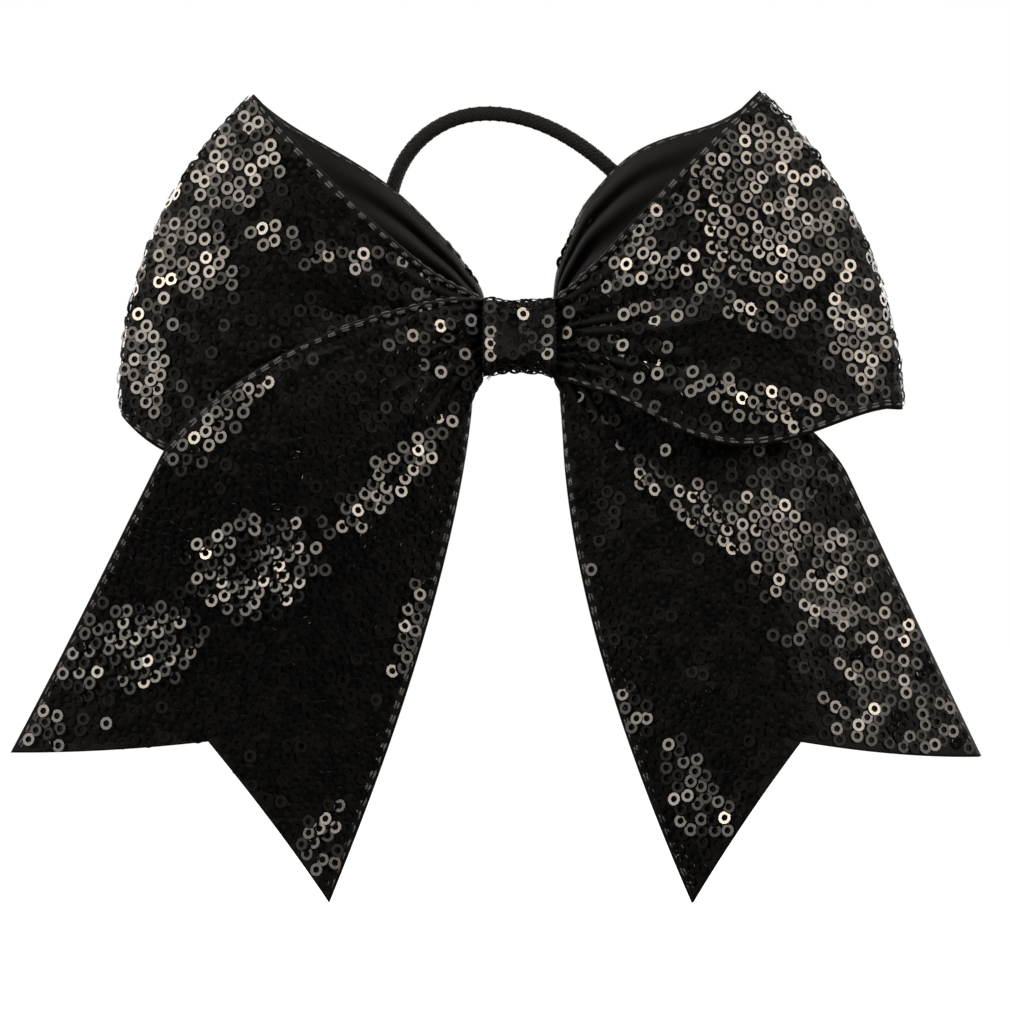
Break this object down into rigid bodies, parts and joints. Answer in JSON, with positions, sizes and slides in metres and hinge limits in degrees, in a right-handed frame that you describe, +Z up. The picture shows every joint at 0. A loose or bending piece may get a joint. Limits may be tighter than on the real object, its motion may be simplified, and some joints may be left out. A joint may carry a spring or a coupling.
{
  "type": "cheer hair bow",
  "caption": "Large cheer hair bow of wide sequined ribbon: two open loops, two notched tails, a wrapped knot and an elastic ring for a ponytail.",
  "frame": {"origin": "middle of the flat back of the knot, where it rests on the hair", "axes": "+X to the bow's right as seen from the front, +Y backwards into the hair, +Z up"},
  "size_m": [0.2101, 0.0314, 0.1747],
  "materials": {
    "ribbon_lining": "smooth dark satin weave",
    "sequin_net": "fine net covered with glossy black ring sequins",
    "edge_thread": "polyester sewing thread, lockstitch",
    "gathering_thread": "waxed sewing thread",
    "elastic_braid": "braided polyester over rubber, matte",
    "steel_ferrule": "plain crimped steel",
    "hot_melt_glue": "cloudy hot-melt glue"
  },
  "bodies": {
    "bow": {"left_loop_lining": "ribbon_lining", "left_loop_sequin_net": "sequin_net", "left_loop_top_stitching": "edge_thread", "left_loop_bottom_stitching": "edge_thread", "right_loop_lining": "ribbon_lining", "right_loop_sequin_net": "sequin_net", "right_loop_top_stitching": "edge_thread", "right_loop_bottom_stitching": "edge_thread", "left_tail_neck_lining": "ribbon_lining", "left_tail_neck_sequin_net": "sequin_net", "left_tail_neck_outer_stitching": "edge_thread", "left_tail_neck_inner_stitching": "edge_thread", "right_tail_neck_lining": "ribbon_lining", "right_tail_neck_sequin_net": "sequin_net", "right_tail_neck_outer_stitching": "edge_thread", "right_tail_neck_inner_stitching": "edge_thread", "gathered_front_pass": "ribbon_lining", "gathered_middle_pass": "ribbon_lining", "gathered_back_pass": "ribbon_lining", "gathering_thread": "gathering_thread", "knot_wrap_lining": "ribbon_lining", "knot_wrap_sequin_net": "sequin_net", "wrap_glue_seam": "hot_melt_glue"},
    "left_tail": {"left_tail_lining": "ribbon_lining", "left_tail_sequin_net": "sequin_net", "left_tail_outer_stitching": "edge_thread", "left_tail_inner_stitching": "edge_thread"},
    "right_tail": {"right_tail_lining": "ribbon_lining", "right_tail_sequin_net": "sequin_net", "right_tail_outer_stitching": "edge_thread", "right_tail_inner_stitching": "edge_thread"},
    "elastic": {"elastic_cord": "elastic_braid", "elastic_ferrule": "steel_ferrule"}
  },
  "joints": [
    {"name": "left_tail_swing", "type": "hinge", "parent": "bow", "child": "left_tail", "pos_m": [-0.04577, -0.0219, -0.03596], "axis": [-0.9298, -0.2185, 0.2962], "range_deg": [-30, 45], "stiffness_Nm_per_rad": 0.004},
    {"name": "right_tail_swing", "type": "hinge", "parent": "bow", "child": "right_tail", "pos_m": [0.04175, -0.0114, -0.03769], "axis": [-0.9646, -0.0235, -0.2625], "range_deg": [-30, 45], "stiffness_Nm_per_rad": 0.004},
    {"name": "elastic_tilt", "type": "hinge", "parent": "bow", "child": "elastic", "pos_m": [0, -0.0063, 0], "axis": [-1, 0, 0], "range_deg": [0, 110], "stiffness_Nm_per_rad": 0.003}
  ]
}
